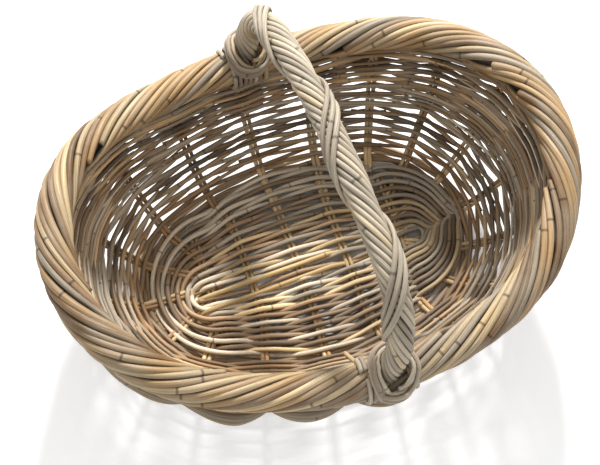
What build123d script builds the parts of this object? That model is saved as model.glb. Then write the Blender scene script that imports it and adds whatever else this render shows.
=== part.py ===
from build123d import *
import math
import os

# Oval shopping basket in round cane, millimetres.
# +X is the long axis, +Y the back, +Z up; the origin is on the floor under the middle.

# Base oval, measured to the foot of the wall. The right end is a little fuller than the left.
base_half_length = 157.0
base_half_width = 97.5
left_end_radius = 77.0
right_end_radius = 90.0

# Wall: an upright arc that leans out from the base and comes upright at the belly.
wall_bow_radius = 190.0
belly_height = 150.0
belly_offset = 63.5
wall_thickness = 11.0
upsett_radius = 20.0

# Rim: the border lies on a saddle, low at the sides and high at the two ends.
rim_offset = 63.0
rim_side_height = 124.0
rim_end_rise = 43.0
border_radius = 16.5
border_lobes = 12
border_lay = 225.0
lobe_depth = 2.8
lobe_sections = 3
lobe_turn = 0.5
border_quarters = 4

# Cane sizes.
stake_diameter = 3.8
stick_diameter = 3.8
lashing_diameter = 4.4
counter_diameter = 5.0
core_diameter = 11.0

# Stakes stand in pairs, one at each tip, the side pairs drawn a little to the fuller end.
stake_pairs = 18
stake_drift = 13.5
tail_height = 9.0
tail_length = 34.0
side_pairs_first = 2

# Base: sticks in three layers, woven over.
long_stick_spread = 32.0
stick_setback = 6.0
base_skin = 1.0
foot_width = 14.0
foot_outset = 3.0
foot_flank = 12.0
foot_flank_height = 7.0

# Heights where one woven band of the wall follows on another.
wall_start_height = 17.5
upsett_top = 30.0
lower_weave_top = 50.5
packing_start = 62.0
packing_half_gap = 90.0
top_wale_height = 18.0

# Openings between the rows, two to a bay in each band, and the top wale's bulge in every bay.
slit_rows = 2
slit_height = 4.0
slit_margin = 10.0
wale_swell = 13.0
wale_dip = 1.5

# Bow handle: two upright legs, two shoulder arcs and a flat crown arc.
bow_rise = 129.0
bow_leg = 43.0
shoulder_radius = 76.0
bow_radius = 11.0
bow_skew = 4.1
bow_lean = 7.0
core_margin = 1.0

# Windings of single canes round the bow and the border.
collar_turns = 3
collar_layers = 2
lashing_turns = 2
lashing_start_angle = 300.0
winding_gap = 0.6
counter_strands = 3
counter_pitch = 133.0
counter_crossing = 110.0
counter_crossing_angle = 20.0
counter_inset = 6.0

# Clearances.
fit = 0.2
seat = 0.3
wind_clear = 0.5
counter_clear = 0.9


def unit(v):
    return v / v.length


# The oval of four tangent arcs; every arc keeps its centre when the oval is offset.
left_centre = base_half_length - left_end_radius
right_centre = base_half_length - right_end_radius
centre_span = left_centre + right_centre
end_difference = right_end_radius - left_end_radius
tilt = end_difference / centre_span
shift = -tilt * (left_end_radius + right_end_radius) / 2 - end_difference / 2
square = tilt**2
linear = 2 * tilt * (shift + left_centre) - 2 * (base_half_width - left_end_radius)
constant = (shift + left_centre) ** 2 + base_half_width**2 - left_end_radius**2
side_radius = -2 * constant / (linear - math.sqrt(linear**2 - 4 * square * constant))
side_centre_x = tilt * side_radius + shift
side_centre_y = side_radius - base_half_width
right_turn = math.atan2(side_centre_y, right_centre - side_centre_x)
left_turn = math.atan2(side_centre_y, -left_centre - side_centre_x)
full_turn = 2 * math.pi
oval_arcs = [
    (right_centre, 0.0, right_end_radius, -right_turn, right_turn),
    (side_centre_x, -side_centre_y, side_radius, right_turn, left_turn),
    (-left_centre, 0.0, left_end_radius, left_turn, full_turn - left_turn),
    (side_centre_x, side_centre_y, side_radius, full_turn - left_turn, full_turn - right_turn),
]


def oval_point(angle, offset):
    """Point of the offset oval whose outward normal has this angle."""
    turned = (angle + right_turn) % full_turn - right_turn
    for cx, cy, radius, start, stop in oval_arcs:
        if turned <= stop:
            reach = radius + offset
            return Vector(cx + reach * math.cos(turned), cy + reach * math.sin(turned), 0)


def oval_angles(count, offset, drift=0.0):
    """Normal angles of points spaced along the offset oval, from the left tip on."""
    lengths = [(radius + offset) * (stop - start) for _, _, radius, start, stop in oval_arcs]
    total = sum(lengths)
    tip = lengths[0] + lengths[1] + lengths[2] / 2
    angles = []
    for number in range(count):
        moved = drift * math.sin(full_turn * number / count)
        along = (tip + total * number / count + moved) % total
        for (_, _, radius, start, _), length in zip(oval_arcs, lengths):
            if along <= length:
                angles.append(start + along / (radius + offset))
                break
            along -= length
    return angles


def oval_face(offset):
    """Flat face inside the offset oval."""
    joints = [oval_point(stop, offset) for _, _, _, _, stop in oval_arcs]
    edges = []
    for number, (_, _, _, start, stop) in enumerate(oval_arcs):
        middle = oval_point((start + stop) / 2, offset)
        edges.append(ThreePointArc(joints[number - 1], middle, joints[number]))
    return make_face(Wire(edges))


def half_width_at(x, offset):
    """Half width of the offset oval at this place along its length."""
    if x > right_centre + right_end_radius * math.cos(right_turn):
        return math.sqrt((right_end_radius + offset) ** 2 - (x - right_centre) ** 2)
    if x < -left_centre + left_end_radius * math.cos(left_turn):
        return math.sqrt((left_end_radius + offset) ** 2 - (x + left_centre) ** 2)
    return math.sqrt((side_radius + offset) ** 2 - (x - side_centre_x) ** 2) - side_centre_y


def turned_ring(section):
    """Carry a section, drawn as (offset from the base oval, height), once round the oval."""
    pieces = []
    for cx, cy, radius, start, stop in oval_arcs:
        outward = Vector(math.cos(start), math.sin(start), 0)
        plane = Plane(origin=Vector(cx, cy, 0), x_dir=outward, z_dir=outward.cross(Vector(0, 0, 1)))
        face = plane * Pos(radius, 0) * section
        axis = Axis((cx, cy, 0), (0, 0, 1))
        pieces.append(revolve(face, axis, math.degrees(stop - start)))
    return pieces[0].fuse(*pieces[1:]).clean()


def biarc(start, start_tangent, end, end_tangent):
    """Two tangent arcs between two points with given directions."""
    chord = end - start
    both = start_tangent + end_tangent
    lean = 2 * (1 - start_tangent.dot(end_tangent))
    along = chord.dot(both)
    reach = chord.dot(chord) / (along + math.sqrt(along**2 + lean * chord.dot(chord)))
    first = start + start_tangent * reach
    second = end - end_tangent * reach
    joint = (first + second) * 0.5
    return [
        Edge.make_tangent_arc(start, start_tangent, joint),
        Edge.make_tangent_arc(joint, unit(second - first), end),
    ]


def tube_along(points, tangents, radius, closed=False):
    """Round tube through the points, on biarcs."""
    edges = []
    count = len(points)
    for number in range(count if closed else count - 1):
        after = (number + 1) % count
        edges += biarc(points[number], tangents[number], points[after], tangents[after])
    path = Wire(edges)
    section = Plane(origin=points[0], z_dir=tangents[0]) * Circle(radius)
    return sweep(section, path=path), path


def self_gap(path, diameter, turn_length):
    """Least gap between neighbouring turns of a winding, on points along it."""
    steps = int(path.length / (diameter / 2))
    spots = [path.position_at(number / steps) for number in range(steps + 1)]
    apart = int(turn_length / 2 / (path.length / steps))
    least = math.inf
    for number, spot in enumerate(spots):
        for other in spots[number + apart :]:
            least = min(least, (spot - other).length)
    return least - diameter


def winding(origin, axis, across, radius, pitch, turns, start_angle, tube_radius):
    """Helical winding round a straight axis, by quarter turns."""
    side = axis.cross(across)
    points = []
    tangents = []
    for quarter in range(4 * turns + 1):
        angle = math.radians(start_angle) + quarter * math.pi / 2
        outward = across * math.cos(angle) + side * math.sin(angle)
        onward = side * math.cos(angle) - across * math.sin(angle)
        points.append(origin + axis * (pitch * quarter / 4) + outward * radius)
        tangents.append(unit(onward * (radius * full_turn) + axis * pitch))
    return tube_along(points, tangents, tube_radius)


# Wall profile in (offset, height).
wall_centre_offset = belly_offset - wall_bow_radius
layer_step = stake_diameter / 2 + stick_diameter / 2 + seat
bend_height = tail_height + upsett_radius
bend_reach = wall_bow_radius - upsett_radius
bend_offset = wall_centre_offset + math.sqrt(bend_reach**2 - (belly_height - bend_height) ** 2)
bend_angle = math.atan2(bend_height - belly_height, bend_offset - wall_centre_offset)


def wall_spot(angle, radius):
    return (wall_centre_offset + radius * math.cos(angle), belly_height + radius * math.sin(angle))


def wall_angle(height):
    return math.asin((height - belly_height) / wall_bow_radius)


# Saddle of the rim: a lying cylinder across the basket.
rim_half_length = base_half_length + rim_offset
saddle_radius = (rim_half_length**2 + rim_end_rise**2) / (2 * rim_end_rise)
saddle_height = rim_side_height + saddle_radius
wall_end = rim_side_height + rim_end_rise
across_length = 4 * (base_half_width + rim_offset)


def rim_height(x):
    return saddle_height - math.sqrt(saddle_radius**2 - x**2)


def saddle_cylinder(depth):
    """Everything above a surface that lies this far below the rim line."""
    lying = Cylinder(saddle_radius + depth, across_length, rotation=(90, 0, 0))
    return Pos(0, 0, saddle_height) * lying


def rim_frame(angle):
    """Place, run and outward direction of the rim line at a normal angle."""
    spot = oval_point(angle, rim_offset)
    run = Vector(-math.sin(angle), math.cos(angle), 0)
    slope = spot.X / math.sqrt(saddle_radius**2 - spot.X**2)
    run = unit(Vector(run.X, run.Y, slope * run.X))
    outward = Vector(math.cos(angle), math.sin(angle), 0)
    return Vector(spot.X, spot.Y, rim_height(spot.X)), run, outward


# Stakes and the channels that the weave leaves round them.
pair_step = stake_diameter + seat


def stake_path(tail):
    lower = wall_spot(bend_angle, wall_bow_radius)
    halfway = (bend_angle - math.pi / 2) / 2
    bend_middle = (
        bend_offset + upsett_radius * math.cos(halfway),
        bend_height + upsett_radius * math.sin(halfway),
    )
    top_angle = wall_angle(wall_end)
    middle = wall_spot((bend_angle + top_angle) / 2, wall_bow_radius)
    return Wire(
        [
            Line((bend_offset - tail, tail_height), (bend_offset, tail_height)),
            ThreePointArc((bend_offset, tail_height), bend_middle, lower),
            ThreePointArc(lower, middle, wall_spot(top_angle, wall_bow_radius)),
        ]
    )


def stake_plane(angle):
    outward = Vector(math.cos(angle), math.sin(angle), 0)
    return Plane(
        origin=oval_point(angle, 0), x_dir=outward, z_dir=outward.cross(Vector(0, 0, 1))
    )


tail_section = Plane(origin=(bend_offset - tail_length, tail_height, 0), x_dir=(0, 0, 1), z_dir=(1, 0, 0))
stake_single = sweep(tail_section * Circle(stake_diameter / 2), path=stake_path(tail_length))
channel_tail = tail_length + fit
channel_section = Plane(
    origin=(bend_offset - channel_tail, tail_height, 0), x_dir=(0, 0, 1), z_dir=(1, 0, 0)
)
channel_slot = SlotCenterToCenter(pair_step, stake_diameter + 2 * fit)
channel_single = sweep(channel_section * channel_slot, path=stake_path(channel_tail))
above_stakes = saddle_cylinder(border_radius + seat)

half_bay_angles = oval_angles(2 * stake_pairs, rim_offset, stake_drift)
stake_angles = half_bay_angles[0::2]
bay_angles = half_bay_angles[1::2]
stake_groups = {"front": [], "back": [], "left": [], "right": []}
channels = []
half_pairs = stake_pairs // 2
for number, angle in enumerate(stake_angles):
    from_tip = min(number % half_pairs, half_pairs - number % half_pairs)
    if from_tip >= side_pairs_first:
        group = "front" if number < half_pairs else "back"
    elif half_pairs // 2 < number <= half_pairs + side_pairs_first:
        group = "right"
    else:
        group = "left"
    plane = stake_plane(angle)
    for side in (-1, 1):
        rod = plane * Pos(0, 0, side * pair_step / 2) * stake_single
        stake_groups[group].append(rod - above_stakes)
    channels.append(plane * channel_single)

# Base sticks: cross pairs under the stake tails, long pairs over them.
base_offset = -foot_width - seat
stick_end = base_offset - stick_setback
cross_height = tail_height - layer_step
long_height = tail_height + layer_step
stick_step = stick_diameter + seat
stick_slot = SlotCenterToCenter(stick_step, stick_diameter + 2 * fit)
cross_sticks = []
long_sticks = []
stick_channels = []
for angle in stake_angles[side_pairs_first : half_pairs - side_pairs_first + 1]:
    x = oval_point(angle, bend_offset - tail_length).X
    reach = half_width_at(x, stick_end)
    for side in (-1, 1):
        rod = Cylinder(stick_diameter / 2, 2 * reach, rotation=(90, 0, 0))
        cross_sticks.append(Pos(x + side * stick_step / 2, 0, cross_height) * rod)
    slot = extrude(Plane.XZ * stick_slot, reach + fit, both=True)
    stick_channels.append(Pos(x, 0, cross_height) * slot)
for row in (-1, 0, 1):
    y = row * long_stick_spread
    right_stop = right_centre + math.sqrt((right_end_radius + stick_end) ** 2 - y**2)
    left_stop = -left_centre - math.sqrt((left_end_radius + stick_end) ** 2 - y**2)
    length = right_stop - left_stop
    middle = (right_stop + left_stop) / 2
    for side in (-1, 1):
        rod = Cylinder(stick_diameter / 2, length, rotation=(0, 90, 0))
        long_sticks.append(Pos(middle, y + side * stick_step / 2, long_height) * rod)
    slot = extrude(Plane.YZ * stick_slot, length / 2 + fit, both=True)
    stick_channels.append(Pos(middle, y, long_height) * slot)

base_half_depth = layer_step + stick_diameter / 2 + fit + base_skin
base_floor = tail_height - base_half_depth
base_top = tail_height + base_half_depth
base_weave = extrude(Pos(0, 0, base_floor) * oval_face(base_offset), 2 * base_half_depth)
base_weave = base_weave.cut(*stick_channels, *channels)

# Foot wale: the ring that the basket stands on, round the bends of the stakes.
start_angle = wall_angle(wall_start_height)
inner_wall = wall_bow_radius - wall_thickness / 2
outer_wall = wall_bow_radius + wall_thickness / 2
foot_stop = start_angle - seat / wall_bow_radius
foot_section = make_face(
    Polyline(
        (-foot_width, 0),
        (foot_outset, 0),
        (foot_flank, foot_flank_height),
        wall_spot(foot_stop, outer_wall),
        wall_spot(foot_stop, inner_wall),
        (-foot_width, base_top),
        close=True,
    )
)
foot_wale = turned_ring(foot_section).cut(*channels)

# The whole wall, then the bands it is woven in; the top wale's canes bulge out in every bay.
stop_angle = wall_angle(wall_end)
mid_angle = (start_angle + stop_angle) / 2


def wall_section(outer_radius):
    angles = (start_angle, mid_angle, stop_angle)
    outer_arc = ThreePointArc(*[wall_spot(angle, outer_radius) for angle in angles])
    inner_arc = ThreePointArc(*[wall_spot(angle, inner_wall) for angle in reversed(angles)])
    top = Line(wall_spot(stop_angle, outer_radius), wall_spot(stop_angle, inner_wall))
    bottom = Line(wall_spot(start_angle, inner_wall), wall_spot(start_angle, outer_radius))
    return make_face(Wire([outer_arc, top, inner_arc, bottom]))


wall = turned_ring(wall_section(outer_wall))
wale_blank = turned_ring(wall_section(outer_wall + 2 * wale_swell))
along_length = 4 * rim_half_length


def slab(bottom, top):
    block = Box(along_length, across_length, top - bottom)
    return Pos(0, 0, (bottom + top) / 2) * block


def end_block(side, half_gap):
    """Block over one end of the basket, from the packing's start up."""
    block = Box(along_length, across_length, wall_end)
    return Pos(side * (half_gap + along_length / 2), 0, packing_start + wall_end / 2) * block


def wall_offset(height, radius):
    return wall_spot(wall_angle(height), radius)[0]


def slits(bottom, top, half_reach):
    """Openings through the rows of a band, in the bays within this reach along the basket."""
    boxes = []
    for number, angle in enumerate(bay_angles):
        after = stake_angles[(number + 1) % stake_pairs]
        for row in range(slit_rows):
            height = bottom + (top - bottom) * (row + 1) / (slit_rows + 1)
            offset = wall_offset(height, wall_bow_radius)
            bay = (oval_point(after, offset) - oval_point(stake_angles[number], offset)).length
            middle = oval_point(angle, offset)
            if abs(middle.X) + bay / 2 < half_reach:
                outward = Vector(math.cos(angle), math.sin(angle), 0)
                plane = Plane(origin=middle + Vector(0, 0, height), x_dir=outward, z_dir=(0, 0, 1))
                boxes.append(plane * Box(4 * wall_thickness, bay - 2 * slit_margin, slit_height))
    return boxes


wale_top_depth = border_radius + seat
wale_bottom_depth = wale_top_depth + top_wale_height
wale_middle_depth = (wale_top_depth + wale_bottom_depth) / 2


def wale_spot(angle, out):
    """Point of the top wale's outline, this far out from the plain wall."""
    height = rim_height(oval_point(angle, rim_offset).X) - wale_middle_depth
    return oval_point(angle, wall_offset(height, outer_wall) + out)


scallops = []
for number, angle in enumerate(bay_angles):
    after = stake_angles[(number + 1) % stake_pairs]
    bulge = wale_spot(angle, wale_swell)
    scallops.append(
        ThreePointArc(wale_spot(stake_angles[number], wale_dip), bulge, wale_spot(after, wale_dip))
    )
wale_outline = extrude(make_face(Wire(scallops)), 2 * wall_end)
wale_ring = (wale_blank - above_stakes) & saddle_cylinder(wale_bottom_depth)
top_wale = (wale_ring & wale_outline).cut(*channels)

upsett_wale = (wall & slab(0, upsett_top)).cut(*channels)
lower_start = upsett_top + seat
lower_slits = slits(lower_start, lower_weave_top, rim_half_length)
lower_weave = (wall & slab(lower_start, lower_weave_top)).cut(*channels, *lower_slits)
upper_start = lower_weave_top + seat
upper_wall = (wall & slab(upper_start, 2 * wall_end)) - saddle_cylinder(wale_bottom_depth + seat)
packing_left = (upper_wall & end_block(-1, packing_half_gap + seat)).cut(*channels)
packing_right = (upper_wall & end_block(1, packing_half_gap + seat)).cut(*channels)
lowered = Pos(0, 0, -seat)
upper_slit_top = upper_start + lower_weave_top - lower_start
upper_slits = slits(upper_start, upper_slit_top, packing_half_gap)
end_rooms = [lowered * end_block(side, packing_half_gap) for side in (-1, 1)]
upper_weave = upper_wall.cut(*end_rooms).cut(*channels, *upper_slits)

# Border: one rolled rope of canes all the way along the rim, lofted a quarter at a time.
rim_length = sum((radius + rim_offset) * (stop - start) for _, _, radius, start, stop in oval_arcs)
border_sections = lobe_sections * round(border_lobes * rim_length / border_lay)
border_angles = oval_angles(border_sections, rim_offset)
lobe_angle = full_turn / border_lobes


def border_section(number):
    """Lobed section of the border, turned a little further at every place along it."""
    spot, run, outward = rim_frame(border_angles[number % border_sections])
    plane = Plane(origin=spot, x_dir=outward, z_dir=run)
    arcs = []
    for lobe in range(border_lobes):
        start = lobe_angle * (lobe + lobe_turn - number / lobe_sections)
        ends = [(border_radius - lobe_depth, start), (border_radius - lobe_depth, start + lobe_angle)]
        places = [ends[0], (border_radius, start + lobe_angle / 2), ends[1]]
        arcs.append(ThreePointArc(*[(reach * math.cos(a), reach * math.sin(a)) for reach, a in places]))
    return plane * make_face(Wire(arcs))


border_sides = []
for quarter in range(border_quarters):
    first = round(border_sections * quarter / border_quarters)
    last = round(border_sections * (quarter + 1) / border_quarters)
    piece = loft([border_section(number) for number in range(first, last + 1)])
    border_sides += [face for face in piece.faces() if face.geom_type != GeomType.PLANE]
border_roll = Solid(Shell(border_sides))
print("border length", round(rim_length, 1))

# Bow handle, in its own upright plane; local x runs from the back foot to the front foot.
half_span_across = half_width_at(0, rim_offset)
skew = math.radians(bow_skew)
span = Vector(math.sin(skew), -math.cos(skew), 0)
front_angle = math.atan2(span.Y, span.X)
for _ in range(6):
    foot_x = oval_point(front_angle, rim_offset).X
    wanted_x = half_span_across * math.tan(skew)
    front_angle += (wanted_x - foot_x) / (side_radius + rim_offset)
front_foot = rim_frame(front_angle)[0]
back_angle = math.pi - front_angle + math.pi
for _ in range(6):
    foot_x = oval_point(back_angle, rim_offset).X
    back_angle -= (-front_foot.X - foot_x) / (side_radius + rim_offset)
back_foot = rim_frame(back_angle)[0]
span = unit(front_foot - back_foot)
half_span = (front_foot - back_foot).length / 2
bow_middle = (front_foot + back_foot) * 0.5
leaning = Vector(math.tan(math.radians(bow_lean)), 0, 1)
rise_dir = unit(leaning - span * leaning.dot(span))
bow_normal = span.cross(rise_dir)
bow_plane = Plane(origin=bow_middle, x_dir=span, z_dir=bow_normal)
shoulder_x = half_span - shoulder_radius
crown_rise = bow_rise - bow_leg
crown_radius = (shoulder_x**2 + crown_rise**2 - shoulder_radius**2) / (2 * (crown_rise - shoulder_radius))
crown_drop = crown_radius - bow_rise
shoulder_turn = math.atan2(bow_leg + crown_drop, shoulder_x)


def bow_path(foot_depth):
    ends = []
    for side in (-1, 1):
        low = (side * half_span, -foot_depth)
        leg_top = (side * half_span, bow_leg)
        half = shoulder_turn / 2
        shoulder_mid = (
            side * (shoulder_x + shoulder_radius * math.cos(half)),
            bow_leg + shoulder_radius * math.sin(half),
        )
        shoulder_end = (
            side * (shoulder_x + shoulder_radius * math.cos(shoulder_turn)),
            bow_leg + shoulder_radius * math.sin(shoulder_turn),
        )
        ends.append((low, leg_top, shoulder_mid, shoulder_end))
    back, front = ends
    edges = [
        Line(back[0], back[1]),
        ThreePointArc(back[1], back[2], back[3]),
        ThreePointArc(back[3], (0, bow_rise), front[3]),
        ThreePointArc(front[3], front[2], front[1]),
        Line(front[1], front[0]),
    ]
    return bow_plane * Wire(edges)


def bow_section(foot_depth, sketch):
    low = bow_middle - span * half_span - rise_dir * foot_depth
    return Plane(origin=low, x_dir=span, z_dir=rise_dir) * sketch


core_depth = border_radius - core_margin
core_radius = core_diameter / 2
hole_radius = core_radius + fit
bow_core = sweep(bow_section(core_depth, Circle(core_radius)), path=bow_path(core_depth))
bow_wrap = sweep(bow_section(0, Circle(bow_radius) - Circle(hole_radius)), path=bow_path(0))
hole_reach = 2 * border_radius
wrap_cutter_radius = border_radius + wind_clear
feet = {"front": (front_foot, front_angle), "back": (back_foot, back_angle)}
for foot, foot_angle in feet.values():
    leg_plane = Plane(origin=foot, x_dir=span, z_dir=rise_dir)
    border_roll = border_roll - leg_plane * Cylinder(hole_radius, 2 * hole_reach)
    run_plane = Plane(origin=foot, z_dir=rim_frame(foot_angle)[1])
    bow_wrap = bow_wrap - run_plane * Cylinder(wrap_cutter_radius, 4 * bow_radius)

# Collars round the legs of the bow, and lashings round the border beside each leg.
lash_radius = lashing_diameter / 2
winding_pitch = lashing_diameter + winding_gap
collar_radius = bow_radius + wind_clear + lash_radius
lash_centre = border_radius + wind_clear + lash_radius
collar_reach = collar_radius + (collar_layers - 1) * winding_pitch + lash_radius
lean_slope = math.tan(math.radians(bow_lean))
lash_top = lash_centre + lash_radius
collar_start = lash_top + collar_reach * lean_slope + seat + lash_radius
lash_first = bow_radius + lash_top * lean_slope + wind_clear + lash_radius
lash_length = lashing_turns * winding_pitch
lash_middle = lash_first + lash_length / 2
notch_length = lash_length + lashing_diameter + 2 * wind_clear
notch_depth = lash_centre + lash_radius + wind_clear


def largest_piece(shape):
    return max(shape.solids(), key=lambda solid: solid.volume)


collars = {"front": [], "back": []}
lashings = {"front": [], "back": []}
for place, (foot, foot_angle) in feet.items():
    for layer in range(collar_layers):
        radius = collar_radius + layer * winding_pitch
        start = foot + rise_dir * collar_start
        tube, path = winding(start, rise_dir, span, radius, winding_pitch, collar_turns, 0.0, lash_radius)
        collars[place].append(tube)
        print("collar", place, "gap", round(self_gap(path, lashing_diameter, full_turn * radius), 2))
    for side in (-1, 1):
        middle_angle = foot_angle + side * lash_middle / (side_radius + rim_offset)
        middle, run, outward = rim_frame(middle_angle)
        axis = run * side
        across = unit(outward - run * outward.dot(run))
        upright = unit(Vector(0, 0, 1) - run * run.Z)
        turn_start = lashing_start_angle if axis.cross(across).Z > 0 else -lashing_start_angle
        tube, path = winding(
            middle - axis * (lash_length / 2), axis, across, lash_centre, winding_pitch,
            lashing_turns, turn_start, lash_radius,
        )
        lashings[place].append(tube)
        print("lashing", place, "gap", round(self_gap(path, lashing_diameter, full_turn * lash_centre), 2))
        notch_plane = Plane(origin=middle, x_dir=axis, z_dir=upright)
        notch = notch_plane * Pos(0, 0, -notch_depth / 2) * Box(notch_length, 4 * wall_thickness, notch_depth)
        top_wale = top_wale - notch
        stake_groups[place] = [largest_piece(rod - notch) for rod in stake_groups[place]]

# Counter strands: a ribbon of canes wound the other way over the bow.
bow_line = bow_path(0)
counter_radius = bow_radius + counter_clear + counter_diameter / 2
counter_first = collar_start + collar_turns * winding_pitch + lash_radius + counter_inset
counter_length = bow_line.length - 2 * counter_first
counter_slant = math.atan2(full_turn * counter_radius, counter_pitch)
counter_step = (counter_diameter + winding_gap) / math.sin(counter_slant)
counter_quarters = max(2, round(4 * counter_length / counter_pitch))
counter_little = counter_diameter / 100


def counter_spot(along, lag):
    """Place on a counter strand at this length along the bow."""
    at = along / bow_line.length
    spot = bow_line.position_at(at)
    up = bow_normal.cross(bow_line.tangent_at(at))
    turn = math.radians(counter_crossing_angle) + full_turn * (along - counter_crossing - lag) / counter_pitch
    return spot + (up * math.cos(turn) + bow_normal * math.sin(turn)) * counter_radius


counter = []
for strand in range(counter_strands):
    lag = (strand - (counter_strands - 1) / 2) * counter_step
    points = []
    tangents = []
    for quarter in range(counter_quarters + 1):
        along = counter_first + counter_length * quarter / counter_quarters
        points.append(counter_spot(along, lag))
        ahead = counter_spot(along + counter_little, lag)
        behind = counter_spot(along - counter_little, lag)
        tangents.append(unit(ahead - behind))
    tube, path = tube_along(points, tangents, counter_diameter / 2)
    counter.append(tube)
    print("counter strand gap", round(self_gap(path, counter_diameter, counter_pitch), 2))

nodes = {
    "base_cross_sticks": cross_sticks,
    "base_long_sticks": long_sticks,
    "base_weave": [base_weave],
    "foot_wale": [foot_wale],
    "stakes_front": stake_groups["front"],
    "stakes_back": stake_groups["back"],
    "stakes_left": stake_groups["left"],
    "stakes_right": stake_groups["right"],
    "upsett_wale": [upsett_wale],
    "lower_weave": [lower_weave],
    "upper_weave": [upper_weave],
    "packing_left": [packing_left],
    "packing_right": [packing_right],
    "top_wale": [top_wale],
    "border_roll": [border_roll],
    "bow_core": [bow_core],
    "bow_wrap": [bow_wrap],
    "bow_counter_strands": counter,
    "collar_front": collars["front"],
    "collar_back": collars["back"],
    "lashing_front": lashings["front"],
    "lashing_back": lashings["back"],
}
os.makedirs("parts", exist_ok=True)
for name, pieces in nodes.items():
    solids = [solid for piece in pieces for solid in piece.solids()]
    shape = solids[0] if len(solids) == 1 else Compound(children=solids)
    shape.label = name
    export_step(shape, f"parts/{name}.step")
    print(name, len(solids), "solids", round(sum(solid.volume for solid in solids)))
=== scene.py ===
import math
from functools import partial

import bpy
import numpy as np
from mathutils import Matrix


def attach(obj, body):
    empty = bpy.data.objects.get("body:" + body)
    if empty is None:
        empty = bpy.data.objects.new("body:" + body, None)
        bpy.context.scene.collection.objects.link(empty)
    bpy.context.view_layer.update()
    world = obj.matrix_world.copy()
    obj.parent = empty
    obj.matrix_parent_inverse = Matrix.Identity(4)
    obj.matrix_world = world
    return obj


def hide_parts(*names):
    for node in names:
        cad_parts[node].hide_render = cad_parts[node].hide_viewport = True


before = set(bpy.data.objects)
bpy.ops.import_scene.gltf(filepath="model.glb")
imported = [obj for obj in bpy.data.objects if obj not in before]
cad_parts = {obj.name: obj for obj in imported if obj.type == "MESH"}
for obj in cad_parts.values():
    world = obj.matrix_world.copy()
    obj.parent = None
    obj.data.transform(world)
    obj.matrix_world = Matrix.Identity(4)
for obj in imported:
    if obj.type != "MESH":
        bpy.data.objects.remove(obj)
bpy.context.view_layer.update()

fullTurn = 2 * math.pi
rng = np.random.default_rng(23)

# shapes shared by all the pieces, in metres; +X along the basket, +Y to its back
ovalShape = {"halfLength": 0.157, "halfWidth": 0.0975, "leftRadius": 0.077, "rightRadius": 0.090}
wallShape = {"bowRadius": 0.190, "bellyHeight": 0.150, "bellyOffset": 0.0635, "bendRadius": 0.020}
rimShape = {"offset": 0.063, "sideHeight": 0.124, "endRise": 0.043, "radius": 0.0165}
pairSpacing = {"pairs": 18, "drift": 0.0135}  # pairs of stakes, counted from the left tip round the front
halfLength, halfWidth, leftRadius, rightRadius = ovalShape.values()
bowRadius, bellyHeight, bellyOffset, bendRadius = wallShape.values()
rimOffset, sideHeight, endRise, rimRadius = rimShape.values()
pairs = pairSpacing["pairs"]
rightTip = pairs // 2  # number of the pair at the right tip

# the two side arcs touch both end arcs and reach the half width, which gives a quadratic for their radius
leftCentre = halfLength - leftRadius
rightCentre = halfLength - rightRadius
endDifference = rightRadius - leftRadius
tilt = endDifference / (leftCentre + rightCentre)
shiftAlong = -tilt * (leftRadius + rightRadius) / 2 - endDifference / 2
linear = 2 * tilt * (shiftAlong + leftCentre) - 2 * (halfWidth - leftRadius)
constant = (shiftAlong + leftCentre) ** 2 + halfWidth ** 2 - leftRadius ** 2
sideRadius = -2 * constant / (linear - math.sqrt(linear ** 2 - 4 * tilt ** 2 * constant))
sideX = tilt * sideRadius + shiftAlong
sideY = sideRadius - halfWidth
rightTurn = math.atan2(sideY, rightCentre - sideX)
leftTurn = math.atan2(sideY, -leftCentre - sideX)
arcX = np.array([rightCentre, sideX, -leftCentre, sideX])
arcY = np.array([0.0, -sideY, 0.0, sideY])
arcRadii = np.array([rightRadius, sideRadius, leftRadius, sideRadius])
arcBounds = np.array([-rightTurn, rightTurn, leftTurn, fullTurn - leftTurn, fullTurn - rightTurn])
rimLengths = np.concatenate([[0.0], np.cumsum((arcRadii + rimOffset) * np.diff(arcBounds))])
leftTip = np.interp(math.pi, arcBounds, rimLengths)
rimHalfLength = halfLength + rimOffset
saddleRadius = (rimHalfLength ** 2 + endRise ** 2) / (2 * endRise)


def ovalAt(angle, offset):
    # four tangent arcs: an arc's centre plus its radius and the offset along the outward normal
    turned = (angle + rightTurn) % fullTurn - rightTurn
    arc = np.searchsorted(arcBounds[1:], turned).clip(0, 3)
    reach = arcRadii[arc] + offset
    return arcX[arc] + reach * np.cos(angle), arcY[arc] + reach * np.sin(angle)


def rimAngle(pair):
    # length along the rim from the left tip, drawn a little to the fuller end, turned into a normal's angle
    share = pair / pairs
    along = leftTip + rimLengths[-1] * share + pairSpacing["drift"] * np.sin(fullTurn * share)
    return np.interp(along % rimLengths[-1], rimLengths, arcBounds)


def rimHeight(x):
    # a lying cylinder under the rim: side height plus the circle's rise at this x
    return sideHeight + saddleRadius - np.sqrt(saddleRadius ** 2 - x ** 2)


def wallAt(pair, height, proud):
    # the wall's upright arc: its angle at this height, then out along it by the bow radius plus proud
    lean = np.arcsin((height - bellyHeight) / bowRadius)
    reach = bowRadius + proud
    offset = bellyOffset - bowRadius + reach * np.cos(lean)
    x, y = ovalAt(rimAngle(pair), offset)
    return np.stack([x, y, bellyHeight + reach * np.sin(lean) + 0 * x], axis=-1)


def unit(v):
    # each vector divided by its own length
    return v / np.linalg.norm(v, axis=-1, keepdims=True)


def wavy(count, steps, waves, size):
    # per strand, a sum of three sines of random phase along it
    t = np.linspace(0, 1, steps)
    total = np.zeros((count, steps))
    for part in range(3):
        phase = rng.uniform(0, fullTurn, (count, 1))
        total += np.sin(fullTurn * waves * (1 + 0.63 * part) * t + phase) / (1 + part)
    return size * total / 1.8


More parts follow.
